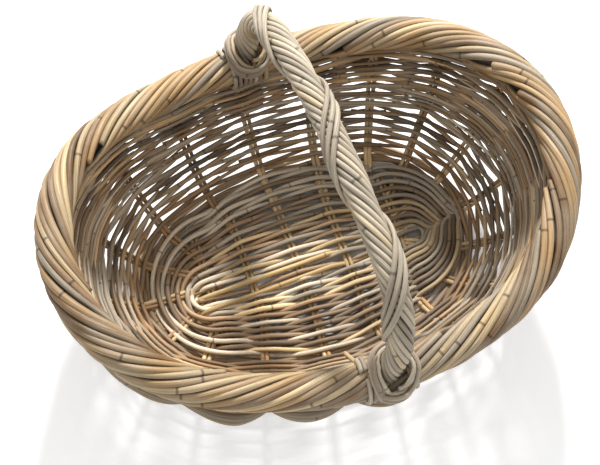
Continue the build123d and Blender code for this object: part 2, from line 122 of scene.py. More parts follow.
def linearColour(colours):
    # screen colour to light: a twelfth near black, a power of 2.4 above it
    c = np.asarray(colours, dtype=float)
    return np.where(c <= 0.04045, c / 12.92, ((c + 0.055) / 1.055) ** 2.4)


def pickHues(palette, count, spread=0.10):
    # a colour of the palette for each strand by its weight, then lighter or darker at random
    names = list(palette)
    weights = np.array([palette[name][1] for name in names], dtype=float)
    table = np.array([palette[name][0] for name in names], dtype=float)
    picked = table[rng.choice(len(names), count, p=weights / weights.sum())]
    return np.clip(picked * (1 + rng.uniform(-spread, spread, (count, 1))), 0, 1)


def canes(paths, look, palette, spread=0.10, **more):
    # a strand for each path: the look's radius times a random share, a hue of the palette
    thick = look["radius"] * rng.uniform(*look["shares"], (len(paths), 1))
    return {"paths": paths, "radius": thick, "hues": pickHues(palette, len(paths), spread), **more}


def swung(turn, first, second):
    # cosine of the turn times the first direction plus its sine times the second
    return np.cos(turn)[..., None] * first + np.sin(turn)[..., None] * second


def strandTube(strand, sides):
    # a round or flattened section carried along each path: point = path plus radius times
    # (flat * cos * normal + sin * across), the normal being the hint made square to the path
    paths = strand["paths"]
    closed = strand.get("closed", False)
    ahead = np.roll(paths, -1, 1) - np.roll(paths, 1, 1) if closed else np.gradient(paths, axis=1)
    tangent = unit(ahead)
    hint = np.broadcast_to(strand.get("hint", np.array([0.0, 0.0, 1.0])), paths.shape)
    normal = unit(hint - (hint * tangent).sum(-1, keepdims=True) * tangent)
    across = np.cross(tangent, normal)
    turn = np.arange(sides) * fullTurn / sides
    cosine = strand.get("flat", 1.0) * np.cos(turn)[:, None]
    ring = cosine * normal[:, :, None] + np.sin(turn)[:, None] * across[:, :, None]
    radius = np.broadcast_to(strand["radius"], paths.shape[:2])[..., None, None]
    return paths[:, :, None] + radius * ring


def strandFaces(strand, sides, firstVert):
    # four-sided faces from each section to the next, with UV = length along the cane, share of the turn;
    # an open strand gets a cap at each end
    paths = strand["paths"]
    closed = strand.get("closed", False)
    m, n = paths.shape[:2]
    step = np.linalg.norm(np.diff(paths, axis=1), axis=-1)
    along = np.concatenate([np.zeros((m, 1)), np.cumsum(step, axis=1)], axis=1)
    number = firstVert + np.arange(m * n * sides).reshape(m, n, sides)
    thisRing, nextRing = number[:, :-1], number[:, 1:]
    alongNow, alongNext = along[:, :-1], along[:, 1:]
    if closed:
        thisRing, nextRing = number, np.roll(number, -1, 1)
        alongNow = along
        alongNext = np.concatenate([along[:, 1:], along[:, -1:] + step[:, -1:]], axis=1)
    quads = np.stack([thisRing, np.roll(thisRing, -1, 2), np.roll(nextRing, -1, 2), nextRing], axis=-1)
    near = np.broadcast_to(alongNow[..., None], quads.shape[:3])
    far = np.broadcast_to(alongNext[..., None], quads.shape[:3])
    left = np.broadcast_to(np.arange(sides) / sides, quads.shape[:3])
    right = left + 1 / sides
    quadUv = np.stack([near, left, near, right, far, right, far, left], axis=-1)
    faces = [(quads.reshape(-1, 4), quadUv.reshape(-1, 2))]
    if not closed:
        caps = np.concatenate([number[:, 0, ::-1], number[:, -1]], axis=0)
        capAlong = np.concatenate([along[:, :1], along[:, -1:]], axis=0)
        capUv = np.stack(np.broadcast_arrays(capAlong, np.full((1, sides), 0.5)), axis=-1)
        faces.append((caps, capUv.reshape(-1, 2)))
    return faces


def strandColours(strand, sides):
    # hue times tone, less the painted shade: none on the side towards the hint, growing into the dips between
    # canes where shade falls
    m, n = strand["paths"].shape[:2]
    facing = np.cos(np.arange(sides) * fullTurn / sides)
    # two-faced canes keep both faces light and take the painted shade on their upper and lower sides
    if strand.get("twoFaced"):
        facing = np.abs(facing)
    shade = np.broadcast_to(facing, (m, n, sides)).reshape(-1, 1)
    level = 1 - strand.get("grime", 0.0) * np.clip((0.75 - shade) / 0.75, 0, 1) ** 1.5
    tone = np.repeat(np.broadcast_to(strand.get("tone", 1.0), (m, n)).ravel(), sides)[:, None]
    colour = np.concatenate([linearColour(strand["hues"]), np.ones((m, 1))], axis=1)
    shading = np.concatenate([level * tone] * 3 + [np.ones_like(level)], axis=1)
    return np.repeat(colour, n * sides, axis=0) * shading


def addObject(name, data):
    # an object of the scene that shows the data, at the origin
    thing = bpy.data.objects.new(name, data)
    bpy.context.scene.collection.objects.link(thing)
    return thing


def caneTubes(name, strands, finish, sides=8):
    # all the strands of a piece as tubes in one mesh, with a hue at every point and a seed for every strand
    verts, loops, uvs, faceSizes, hues, seeds = [], [], [], [], [], []
    vertCount = 0
    for strand in strands:
        points = strandTube(strand, sides)
        for faces, faceUv in strandFaces(strand, sides, vertCount):
            loops.append(faces.ravel())
            faceSizes.append(np.full(len(faces), faces.shape[1]))
            uvs.append(faceUv)
        verts.append(points.reshape(-1, 3))
        hues.append(strandColours(strand, sides))
        seeds.append(np.repeat(rng.uniform(0, 1, len(points)), points.shape[1] * sides))
        vertCount += points[..., 0].size
    loops, faceSizes = np.concatenate(loops), np.concatenate(faceSizes)
    starts = np.cumsum(faceSizes) - faceSizes
    mesh = bpy.data.meshes.new(name)
    mesh.vertices.add(vertCount)
    mesh.vertices.foreach_set("co", np.concatenate(verts).astype(np.float32).ravel())
    mesh.loops.add(len(loops))
    mesh.loops.foreach_set("vertex_index", loops.astype(np.int32))
    mesh.polygons.add(len(starts))
    mesh.polygons.foreach_set("loop_start", starts.astype(np.int32))
    mesh.polygons.foreach_set("use_smooth", np.ones(len(starts), dtype=bool))
    mesh.update(calc_edges=True)
    mesh.uv_layers.new(name="cane").data.foreach_set("uv", np.concatenate(uvs).astype(np.float32).ravel())
    # colour of each point: the strand's hue and tone, with painted shade in the dips between canes and
    # painted light at the wall's left end
    hue = mesh.attributes.new("hue", "FLOAT_COLOR", "POINT")
    hue.data.foreach_set("color", np.concatenate(hues).astype(np.float32).ravel())
    seed = mesh.attributes.new("seed", "FLOAT", "POINT")
    seed.data.foreach_set("value", np.concatenate(seeds).astype(np.float32))
    mesh.materials.append(finish)
    piece = addObject(name, mesh)
    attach(piece, "root")
    print(name, "strands", sum(len(strand["paths"]) for strand in strands), "faces", len(starts))
    return piece


def setOrJoin(tree, socket, value):
    # another node's output is linked to the socket, a number or a colour is set on it
    if isinstance(value, bpy.types.NodeSocket):
        tree.links.new(value, socket)
    else:
        socket.default_value = value


def mathsNode(tree, operation, *values):
    # one Math node: the operation on one or two values
    node = tree.nodes.new("ShaderNodeMath")
    node.operation = operation
    for socket, value in zip(node.inputs, values):
        setOrJoin(tree, socket, value)
    return node.outputs[0]


caneGrain = {"alongScale": 22.0, "aroundScale": 3.2, "detail": 5.0, "roughness": 0.62, "seedShift": 37.0,
             "streaks": ((0.30, 0.58), (0.50, 1.0), (0.72, 1.40)), "bump": 0.35, "bumpDepth": 0.0006}
caneWear = {"patchScale": 26.0, "patches": ((0.40, 0.0), (0.66, 1.0)), "speckScale": 900.0,
            "specks": ((0.30, 0.72), (0.44, 1.0), (1.0, 1.04)), "speckShare": 0.7,
            "ringShift": 7.0, "ring": (0.0028, 0.0065)}


def noiseNode(tree, scale, detail, vector):
    # cloudy grey pattern of this scale over the vector
    node = tree.nodes.new("ShaderNodeTexNoise")
    node.inputs["Scale"].default_value = scale
    node.inputs["Detail"].default_value = detail
    tree.links.new(vector, node.inputs["Vector"])
    return node


def newFinish(name):
    # an empty finish and its node tree
    finish = bpy.data.materials.new(name)
    finish.use_nodes = True
    return finish, finish.node_tree


def caneFinish(name, grey, greyShare, nodeGap, nodeDark, roughness):
    # strand colour times streaks along the cane, dark rings at the growth nodes, grey weathered patches
    finish, tree = newFinish(name)
    make, join = tree.nodes.new, tree.links.new
    shader = tree.nodes["Principled BSDF"]
    maths = partial(mathsNode, tree)

    def mixed(kind, share, first, second):
        # first and second colour blended in this kind by the share
        node = make("ShaderNodeMix")
        node.data_type = "RGBA"
        node.blend_type = kind
        for socket, value in ((node.inputs[0], share), (node.inputs[6], first), (node.inputs[7], second)):
            setOrJoin(tree, socket, value)
        return node.outputs[2]

    def ramp(value, stops):
        # grey level by the value, straight from one stop to the next
        node = make("ShaderNodeValToRGB")
        ends = node.color_ramp.elements
        for end, (place, level) in zip((ends[0], ends[1]), (stops[0], stops[-1])):
            end.position = place
            end.color = (level, level, level, 1)
        for place, level in stops[1:-1]:
            ends.new(place).color = (level, level, level, 1)
        join(value, node.inputs[0])
        return node.outputs[0]

    uvMap = make("ShaderNodeUVMap")
    uvMap.uv_map = "cane"
    split = make("ShaderNodeSeparateXYZ")
    join(uvMap.outputs[0], split.inputs[0])
    along, around = split.outputs[0], split.outputs[1]
    # the point colour already holds the painted shade and painted light set on each strand
    hue = make("ShaderNodeAttribute")
    hue.attribute_name = "hue"
    seed = make("ShaderNodeAttribute")
    seed.attribute_name = "seed"

    # streaks: a noise drawn out along the cane and wrapped round it, so that it has no seam
    angle = maths("MULTIPLY", around, fullTurn)
    shift = maths("MULTIPLY", seed.outputs[2], caneGrain["seedShift"])
    grainPlace = make("ShaderNodeCombineXYZ")
    join(maths("ADD", maths("MULTIPLY", along, caneGrain["alongScale"]), shift), grainPlace.inputs[0])
    join(maths("MULTIPLY", maths("SINE", angle), caneGrain["aroundScale"]), grainPlace.inputs[1])
    join(maths("MULTIPLY", maths("COSINE", angle), caneGrain["aroundScale"]), grainPlace.inputs[2])
    grain = noiseNode(tree, 1.0, caneGrain["detail"], grainPlace.outputs[0])
    grain.inputs["Roughness"].default_value = caneGrain["roughness"]
    streak = ramp(grain.outputs[0], caneGrain["streaks"])

    # grey patches and fine specks over the whole basket
    place = make("ShaderNodeTexCoord").outputs["Object"]
    patch = noiseNode(tree, caneWear["patchScale"], 3.0, place)
    greyHere = maths("MULTIPLY", ramp(patch.outputs[0], caneWear["patches"]), greyShare)
    speck = noiseNode(tree, caneWear["speckScale"], 2.0, place)
    speckle = ramp(speck.outputs[0], caneWear["specks"])
    weathered = mixed("MIX", greyHere, hue.outputs[0], (*linearColour(grey), 1.0))
    streaked = mixed("MULTIPLY", 1.0, weathered, streak)
    specked = mixed("MULTIPLY", caneWear["speckShare"], streaked, speckle)

    # dark rings, evenly spaced along the cane and starting at a different place on each
    ringCount = maths("DIVIDE", along, nodeGap)
    ringStart = maths("MULTIPLY", seed.outputs[2], caneWear["ringShift"])
    phase = maths("FRACT", maths("ADD", ringCount, ringStart))
    nearRing = maths("ABSOLUTE", maths("SUBTRACT", phase, 0.5))
    darkEnd, clearFrom = caneWear["ring"]
    ringShade = ramp(nearRing, ((0.0, nodeDark), (darkEnd, nodeDark), (clearFrom, 1.0)))
    join(mixed("MULTIPLY", 1.0, specked, ringShade), shader.inputs["Base Color"])

    gloss = ramp(grain.outputs[0], ((0.2, roughness + 0.12), (0.8, roughness - 0.10)))
    join(gloss, shader.inputs["Roughness"])
    shader.inputs["Specular IOR Level"].default_value = 0.35
    bump = make("ShaderNodeBump")
    bump.inputs["Strength"].default_value = caneGrain["bump"]
    bump.inputs["Distance"].default_value = caneGrain["bumpDepth"]
    join(maths("ADD", grain.outputs[0], maths("MULTIPLY", ringShade, -0.35)), bump.inputs["Height"])
    join(bump.outputs[0], shader.inputs["Normal"])
    return finish


# grey of the weathered patches and their share, length between rings, shade of a ring, roughness
borderCane = caneFinish("borderCane", (0.70, 0.65, 0.57), 0.40, 0.21, 0.30, 0.50)
bowCane = caneFinish("bowCane", (0.76, 0.71, 0.63), 0.40, 0.23, 0.40, 0.55)
wallCane = caneFinish("wallCane", (0.60, 0.56, 0.50), 0.40, 0.17, 0.40, 0.60)
baseCane = caneFinish("baseCane", (0.62, 0.58, 0.51), 0.35, 0.17, 0.40, 0.58)
stickCane = caneFinish("stickCane", (0.58, 0.52, 0.44), 0.25, 0.15, 0.45, 0.58)


def crossing(pair, signs):
    # the weaver's side at each pair of stakes, changing evenly from one pair to the next
    lower = np.floor(pair).astype(int)
    part = pair - lower
    count = signs.shape[-1]
    rows = np.arange(signs.shape[0])[:, None]
    return signs[rows, lower % count] * (1 - part) + signs[rows, (lower + 1) % count] * part


def rounded(paths, closed=False):
    # running mean over five points along each path, which rounds the corners at the stakes
    mode = {"mode": "wrap"} if closed else {"mode": "reflect", "reflect_type": "odd"}
    padded = np.pad(paths, ((0, 0), (2, 2), (0, 0)), **mode)
    return sum(padded[:, k:k + paths.shape[1]] for k in range(5)) / 5


def tuckedEnds(steps, length):
    # 0 along the cane, rising to 1 over the last few steps at both ends
    t = np.arange(steps)
    return np.clip(1 - np.minimum(t, steps - 1 - t) / length, 0, 1) ** 2


print("stakes")
stakes = {"radius": 0.0021, "shares": (0.92, 1.1), "gap": 0.0044, "tailHeight": 0.0085, "tailLength": 0.036,
          "tipTail": 0.064, "endTail": 0.050, "steps": 30, "under": 0.010, "sway": 0.0007,
          "toneSteps": (0, 11, 22), "tones": (1.5, 1.3, 1.0)}  # paler towards the base
stakeHues = {"brown": ((0.56, 0.45, 0.32), 3), "rust": ((0.66, 0.51, 0.35), 3),
             "gold": ((0.76, 0.66, 0.50), 4)}
stakeGroups = {"stakes_front": range(2, 8), "stakes_right": range(8, 11),
               "stakes_back": range(11, 17), "stakes_left": range(17, 20)}
centreReach = bowRadius - bendRadius
wallOffset = bellyOffset - bowRadius
bendHeight = stakes["tailHeight"] + bendRadius
bendLean = math.asin((bendHeight - bellyHeight) / centreReach)
bendOffset = wallOffset + centreReach * math.cos(bendLean)


def stakeLine(pair, side):
    # profile in the stake's upright plane: tail, bend arc, then the wall's arc into the border;
    # set to one side of the plane by half the gap
    angle = rimAngle(pair)
    topX = ovalAt(angle, rimOffset)[0]
    top = rimHeight(topX) - stakes["under"]
    stop = np.arcsin((top - bellyHeight) / bowRadius)
    fromTip = np.minimum(pair % rightTip, rightTip - pair % rightTip)
    longTails = [stakes["tipTail"], stakes["endTail"]]
    tailLength = np.select([fromTip == 0, fromTip == 1], longTails, stakes["tailLength"])
    tail = bendOffset - tailLength[:, None] * np.linspace(1, 0, 6)
    bend = np.linspace(-math.pi / 2, bendLean, 7)[1:]
    lean = bendLean + (stop - bendLean)[:, None] * np.linspace(0, 1, stakes["steps"])[1:]
    count = len(angle)
    bendU = bendOffset + bendRadius * np.cos(bend)
    bendZ = bendHeight + bendRadius * np.sin(bend)
    lowZ = np.concatenate([np.full(6, stakes["tailHeight"]), bendZ])
    wallU = wallOffset + bowRadius * np.cos(lean)
    wallZ = bellyHeight + bowRadius * np.sin(lean)
    u = np.concatenate([tail, np.tile(bendU, (count, 1)), wallU], axis=1)
    z = np.concatenate([np.tile(lowZ, (count, 1)), wallZ], axis=1)
    footX, footY = ovalAt(angle, 0.0)
    x = footX[:, None] + u * np.cos(angle)[:, None]
    y = footY[:, None] + u * np.sin(angle)[:, None]
    sideways = np.stack([-np.sin(angle), np.cos(angle), 0 * angle], axis=-1)[:, None]
    drift = (side * stakes["gap"] / 2 + wavy(count, u.shape[1], 1.3, stakes["sway"]))[..., None]
    return np.stack([x, y, z], axis=-1) + sideways * drift, np.broadcast_to(sideways, (count, u.shape[1], 3))


for node, numbers in stakeGroups.items():
    strands = []
    for side in (-1, 1):
        paths, hint = stakeLine(np.array(numbers, dtype=float), side)
        tone = np.interp(np.arange(paths.shape[1]), stakes["toneSteps"], stakes["tones"])
        strands.append(canes(paths, stakes, stakeHues, hint=hint, tone=tone))
    piece = caneTubes(node.replace("stakes_", "stakePairs."), strands, stickCane)
    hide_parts(node)

# the last value sets the painted shade on each cane's sides, where the rows meet; the left end of the wall is
# painted lighter, a painted light on its lit inner face, and the right end a little lighter
weaving = {"stepsPerBay": 14, "jitter": 0.00045, "sway": 0.0003, "dip": 0.0004, "endTuck": 0.0026,
           "paintedLightLeft": 0.42, "rightLighter": 0.175, "grime": 0.5}
# rows part from each other less at the two ends, so the pinch has a share for each pair of stakes
sidePinch = np.array([0.25, 0.35, 0.7, 1, 1, 1, 1, 0.8, 0.5, 0.4, 0.5, 0.8, 1, 1, 1, 0.8, 0.4, 0.25])


def wallRows(heights, signs, starts, spans, radius, palette, reach, pinch, follow=None):
    # straight from one pair of stakes to the next: in or out by the reach, down or up by the pinch;
    # then rounded at the stakes by a short running mean, the two ends turned out behind the wall
    count = len(starts)
    steps = int(weaving["stepsPerBay"] * spans.max()) + 1
    pair = starts[:, None] + spans[:, None] * np.linspace(0, 1, steps)
    rows = np.arange(count)[:, None]
    jitter = rng.normal(0, weaving["jitter"], (count, pairs))
    before = np.floor(pair)
    corners = []
    for stake in (before, before + 1):
        at = stake.astype(int) % pairs
        side = signs[rows, at]
        height = heights[:, None] + pinch[at] * side + jitter[rows, at]
        if follow is not None:
            height = height + follow(stake)
        corners.append(wallAt(stake, height, reach * side))
    paths = corners[0] + (corners[1] - corners[0]) * (pair - before)[..., None]
    paths = rounded(paths)
    level = heights[:, None] + 0 * pair
    outward = unit(wallAt(pair, level, 0.01) - wallAt(pair, level, 0.0))
    proud = wavy(count, steps, 5, weaving["sway"]) + weaving["endTuck"] * tuckedEnds(steps, 4)
    paths = paths + outward * proud[..., None]
    paths[..., 2] += wavy(count, steps, 4, weaving["dip"])
    thick = radius * rng.uniform(0.84, 1.14, (count, 1)) * (1 + wavy(count, steps, 3, 0.07))
    # painted light: the left end of the wall lighter, where light falls on its inner face; the right end a
    # little lighter too
    paintedLightMask, rightEnd = [np.clip((side * paths[..., 0] - 0.08) / 0.08, 0, 1) for side in (-1, 1)]
    paintedLightLeftPaleRight = 1 + weaving["paintedLightLeft"] * paintedLightMask + weaving["rightLighter"] * rightEnd
    return {"paths": paths, "radius": thick, "hues": pickHues(palette, count, 0.2), "hint": outward,
            "tone": paintedLightLeftPaleRight, "grime": weaving["grime"], "twoFaced": True}


def plainSigns(parity):
    # inside and outside of the stakes by turns
    return np.where((np.arange(pairs)[None] + parity[:, None]) % 2 == 0, 1.0, -1.0)


def halfRows(heights, parity, palette, radius, reach, pinch, follow=None):
    # two canes to a row, each a little over half the way round, the joins at a different place in each row
    half = pairs / 2
    first = rng.integers(0, pairs, len(heights)).astype(float)
    starts = np.concatenate([first, first + half]) - 0.3
    spans = np.full(2 * len(heights), half + 0.6)
    signs = plainSigns(np.concatenate([parity, parity]))
    bothHeights = np.concatenate([heights, heights])
    return wallRows(bothHeights, signs, starts, spans, radius, palette, reach, pinch, follow)


print("wall")
wallWeave = {"radius": 0.00215, "reach": 0.0042, "pinch": 0.0010, "split": 0.0518, "lowRows": 7,
             "lowFirst": 0.0284, "lowPitch": 0.0036, "highRows": 14, "highPinch": 0.0007,
             "highRadius": 0.00192, "crowding": 0.78}
wallHues = {"grey": ((0.62, 0.56, 0.48), 4), "brown": ((0.53, 0.43, 0.32), 4),
            "dark": ((0.39, 0.32, 0.25), 3), "tan": ((0.70, 0.59, 0.44), 3)}
lowHeights = wallWeave["lowFirst"] + wallWeave["lowPitch"] * np.arange(wallWeave["lowRows"])
lowRows = halfRows(lowHeights, np.arange(wallWeave["lowRows"]), wallHues, wallWeave["radius"],
                   wallWeave["reach"], wallWeave["pinch"] * sidePinch)
piece = caneTubes("lowerWeave", [lowRows], wallCane)
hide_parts("lower_weave")

# canes of the top wale: their places over its lower edge, and how far they stand out in the middle of a bay
topWale = {"height": 0.0130, "lifts": (-0.0050, -0.0008, 0.0034, 0.0076, 0.0118, 0.0160, 0.0200),
           "out": (0.0216, 0.0242, 0.0250, 0.0238, 0.0214, 0.0184, 0.0152), "in": 0.0095, "radius": 0.0023,
           "steps": 330, "overlap": 0.2, "swellPower": 0.8, "uneven": 0.12, "endLess": 0.75,
           "leftFade": (0.11, 0.07), "rightFade": (0.02, 0.06),  # start and length of the swell's fading
           "innerRows": 6, "innerFirst": 0.0008, "innerPitch": 0.0036, "innerRadius": 0.0021}
waleHues = {"grey": ((0.60, 0.55, 0.47), 4), "tan": ((0.66, 0.57, 0.43), 4),
            "brown": ((0.48, 0.40, 0.30), 2)}


def waleBottom(pair):
    # height of the top wale's lower edge, a fixed depth under the rim
    x = ovalAt(rimAngle(pair), rimOffset)[0]
    return rimHeight(x) - rimRadius - topWale["height"]


def risingRow(share):
    # a fixed share of the way from the level rows to the wale's lower edge, so that rows fan out at the ends
    return lambda pair: share * (waleBottom(pair) - wallWeave["split"])


shares = ((np.arange(wallWeave["highRows"]) + 0.5) / wallWeave["highRows"]) ** wallWeave["crowding"]
splitHeight = np.array([wallWeave["split"]])
highStrands = []
for number, share in enumerate(shares):
    parity = np.array([number + wallWeave["lowRows"]])
    row = halfRows(splitHeight, parity, wallHues, wallWeave["highRadius"], wallWeave["reach"],
                   wallWeave["highPinch"] * sidePinch ** 2, risingRow(share))
    highStrands.append(row)
piece = caneTubes("upperWeave", highStrands, wallCane)
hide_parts("upper_weave")

# short rows that fill the fan at the two ends, each as far round as its gap leaves it room
packing = {"radius": 0.0019, "room": 0.0036, "thinRadius": 0.0016, "thinRoom": 0.0050, "thinGaps": 8,
           "taper": 0.4, "farthest": 3.6, "nearest": 0.8, "pinch": 0.0002}
paleHues = {"ash": ((0.76, 0.71, 0.63), 4), "grey": ((0.66, 0.60, 0.52), 4),
            "tan": ((0.74, 0.64, 0.50), 2), "brown": ((0.54, 0.45, 0.35), 2)}


def packingPlaces():
    # share, gap, order and whether it is the second cane: one in the middle of each gap between two rows of
    # the upper weave, two at thirds of each lower gap
    places = [(shares[0] / 2, shares[0], 0, False)]
    for number in range(1, wallWeave["highRows"]):
        below = shares[number - 1]
        gap = shares[number] - below
        if number < packing["thinGaps"]:
            places.append((below + gap / 3, gap, number, False))
            places.append((below + 2 * gap / 3, gap, number + 1, True))
        else:
            places.append((below + gap / 2, gap, number, False))
    return places


away = np.linspace(0, packing["farthest"], 300)
for node, tip in (("packing_left", 0.0), ("packing_right", float(rightTip))):
    rising = waleBottom(tip + away) - wallWeave["split"]
    strands = []
    for share, gap, order, second in packingPlaces():
        room = packing["thinRoom"] if second else packing["room"]
        radius = packing["thinRadius"] if order < packing["thinGaps"] else packing["radius"]
        reachOut = np.interp(-room, -rising * gap, away) + rng.uniform(-0.3, 0.2)
        reachOut = max(reachOut, packing["nearest"])
        signs = plainSigns(np.array([order + wallWeave["lowRows"]]))
        row = wallRows(splitHeight, signs, np.array([tip - reachOut]), np.array([2 * reachOut]), radius,
                       paleHues, wallWeave["reach"], packing["pinch"] * sidePinch, risingRow(share))
        fromMiddle = np.linspace(-1, 1, row["radius"].shape[1])
        row["radius"] = row["radius"] * (1 - packing["taper"] * fromMiddle ** 2)
        strands.append(row)
    piece = caneTubes(node.replace("packing_", "endPacking."), strands, wallCane)
    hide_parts(node)

upsett = {"heights": (0.0150, 0.0183, 0.0216, 0.0250), "radius": 0.0021, "reach": 0.0042, "pinch": 0.0006}
darkHues = {"brown": ((0.54, 0.43, 0.31), 4), "dark": ((0.43, 0.35, 0.27), 3),
            "rust": ((0.62, 0.48, 0.33), 2)}
upsettRows = halfRows(np.array(upsett["heights"]), np.arange(len(upsett["heights"])), darkHues,
                      upsett["radius"], upsett["reach"], upsett["pinch"] * sidePinch)
piece = caneTubes("upsettWale", [upsettRows], wallCane)
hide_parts("upsett_wale")


def outerWale():
    # canes that stand out from the wall by a rounded sine from one pair of stakes to the next, which
    # scallops the wall there, a little unlike from bay to bay and less towards the two ends
    rows, steps = len(topWale["lifts"]), topWale["steps"]
    first = rng.uniform(0, pairs, (rows, 1))
    pair = first + (pairs + topWale["overlap"]) * np.linspace(0, 1, steps)
    swell = np.abs(np.sin(math.pi * pair)) ** topWale["swellPower"]
    size = 1 + topWale["uneven"] * np.sin(1.7 * np.floor(pair) + 0.6)
    x = ovalAt(rimAngle(pair), rimOffset)[0]
    leftFade = (-x - topWale["leftFade"][0]) / topWale["leftFade"][1]
    rightFade = (x - topWale["rightFade"][0]) / topWale["rightFade"][1]
    size = size * (1 - topWale["endLess"] * np.clip(np.maximum(leftFade, rightFade), 0, 1))
    out = np.array(topWale["out"])[:, None] - topWale["in"]
    proud = topWale["in"] + out * swell * size + wavy(rows, steps, 9, 0.0004)
    lift = np.array(topWale["lifts"])[:, None] + wavy(rows, steps, 9, 0.0006) + waleBottom(pair)
    hues = pickHues(waleHues, rows)
    thick = topWale["radius"] * rng.uniform(0.9, 1.1, (rows, 1))
    return {"paths": wallAt(pair, lift, proud), "hues": hues, "radius": thick}


outerRows = outerWale()
innerNumbers = np.arange(topWale["innerRows"])
innerLifts = topWale["innerFirst"] + topWale["innerPitch"] * innerNumbers
innerRows = halfRows(innerLifts, innerNumbers, wallHues, topWale["innerRadius"], wallWeave["reach"],
                     wallWeave["highPinch"] * sidePinch, waleBottom)
piece = caneTubes("topWale", [outerRows, innerRows], wallCane)
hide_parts("top_wale")

print("foot")
footWale = {"radius": 0.0026, "shares": (0.93, 1.05), "twist": 0.0017, "turns": 9, "steps": 300,
            "lines": ((-0.0080, 0.0045), (0.0005, 0.0045), (0.0072, 0.0088))}  # out from the oval, up
baseHues = {"grey": ((0.78, 0.72, 0.63), 4), "brown": ((0.66, 0.54, 0.41), 4),
            "dark": ((0.49, 0.40, 0.31), 3), "honey": ((0.84, 0.73, 0.55), 2)}


def footRope():
    # two canes twisted round each other along the oval, a half turn from one pair of stakes to the next
    t = np.linspace(0, 1, footWale["steps"], endpoint=False)
    angle = rimAngle(pairs * t)
    paths = []
    for number, (offset, height) in enumerate(footWale["lines"]):
        for half in (0, 1):
            turn = fullTurn * footWale["turns"] * t + math.pi * half + number
            x, y = ovalAt(angle, offset + footWale["twist"] * np.cos(turn))
            paths.append(np.stack([x, y, height + footWale["twist"] * np.sin(turn)], axis=-1))
    return np.array(paths)


piece = caneTubes("footWale", [canes(footRope(), footWale, baseHues, closed=True)], wallCane)
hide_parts("foot_wale")

print("base")
# the base's painted shade darkens each cane's sides where the rows meet; its tone is lighter to the left and
# darker to the right
baseWeave = {"loops": 10, "innerEnd": 0.116, "outerEnd": 0.154, "innerTurn": 0.010, "outerTurn": 0.074,
             "turnPower": 1.15, "innerSide": 0.011, "outerSide": 0.0945, "radius": 0.0024,
             "shares": (0.92, 1.06), "reach": 0.0044, "pinch": 0.0007, "height": 0.0090, "steps": 360,
             "offCentre": -0.010, "shift": 0.003, "evenings": 40, "grime": 0.6, "leftLighter": 0.4, "rightDarker": 0.35}
baseFill = {"radius": 0.0024, "shares": (0.9, 1.1), "room": 0.0072, "steps": 150, "ends": (-0.150, 0.156),
            "overrun": 0.012, "endTuck": 0.0012, "middleEnds": (-0.111, 0.113), "middleGap": 0.0032}
stickNumbers = np.arange(2, 8)
stickX = ovalAt(rimAngle(stickNumbers.astype(float)), bendOffset - stakes["tailLength"])[0]


def between(first, last, share):
    # straight from the first value to the last
    return first + (last - first) * share


def baseLoop(share):
    # arms that bow out as a parabola, closed by a half circle at each end, then evened out by averaging
    # neighbours and set off at even steps
    end = between(baseWeave["innerEnd"], baseWeave["outerEnd"], share)
    turn = between(baseWeave["innerTurn"], baseWeave["outerTurn"], share ** baseWeave["turnPower"])
    side = between(baseWeave["innerSide"], baseWeave["outerSide"], share)
    straight = end - turn
    armX = np.linspace(-straight, straight, 500)
    armY = turn + (side - turn) * (1 - (armX / straight) ** 2)
    swing = np.linspace(-math.pi / 2, math.pi / 2, 300)[1:-1]
    endX, endY = straight + turn * np.cos(swing), turn * np.sin(swing)
    x = np.concatenate([armX, endX, armX[::-1], -endX])
    y = np.concatenate([-armY, endY, armY[::-1], endY[::-1]])
    for evening in range(baseWeave["evenings"]):
        x = (np.roll(x, 1) + x + np.roll(x, -1)) / 3
        y = (np.roll(y, 1) + y + np.roll(y, -1)) / 3
    step = np.hypot(np.diff(x, append=x[0]), np.diff(y, append=y[0]))
    along = np.concatenate([[0.0], np.cumsum(step)])
    even = np.linspace(0, along[-1], baseWeave["steps"], endpoint=False)
    x = np.interp(even, along, np.append(x, x[0]))
    y = np.interp(even, along, np.append(y, y[0]))
    return x + baseWeave["shift"], y + baseWeave["offCentre"] * (1 - share), straight


def pairAlong(x, y, straight):
    # number of the pair of stakes that the weaver is passing: by x on the arms, by the angle at both ends
    onArm = np.interp(x, stickX, stickNumbers)
    rightEnd = rightTip + np.arctan2(y, x - straight) / (math.pi / 2) * 1.5
    number = np.where(y < 0, onArm, pairs - onArm)
    rightShare = np.clip((x - stickX[-1]) / 0.02, 0, 1)
    leftShare = np.clip((stickX[0] - x) / 0.02, 0, 1)
    leftNumber = pairs - 1.5 * (np.arctan2(y, -(x + straight)) / (math.pi / 2))
    leftNumber = np.where(y < 0, leftNumber - pairs, leftNumber)
    return number * (1 - rightShare) * (1 - leftShare) + rightEnd * rightShare + leftNumber * leftShare


def wovenBase(x, y, number, signs):
    # over and under the sticks by the reach, and sideways by the pinch, as rows crowd where they cross
    side = crossing(number[None], signs)[0]
    step = unit(np.stack([np.gradient(x), np.gradient(y)], axis=-1))
    z = baseWeave["height"] + baseWeave["reach"] * side + wavy(1, len(x), 6, 0.0005)[0]
    sideways = baseWeave["pinch"] * side
    return np.stack([x - sideways * step[:, 1], y + sideways * step[:, 0], z], axis=-1)


def loopShare(loop):
    # 0 at the innermost loop, 1 at the outermost
    return loop / (baseWeave["loops"] - 1)


def baseLoops():
    # loops of the base weave, every second one on the other side of the sticks at the two ends
    paths = []
    for loop in range(baseWeave["loops"]):
        x, y, straight = baseLoop(loopShare(loop))
        signs = plainSigns(np.array([0]))
        if loop % 2:
            signs[:, [17, 0, 1, 8, 9, 10]] *= -1
        paths.append(wovenBase(x, y, pairAlong(x, y, straight), signs))
    paths = np.array(paths)
    for evening in range(3):
        paths = rounded(paths, closed=True)
    return paths


fillX = np.linspace(*baseFill["ends"], 700)


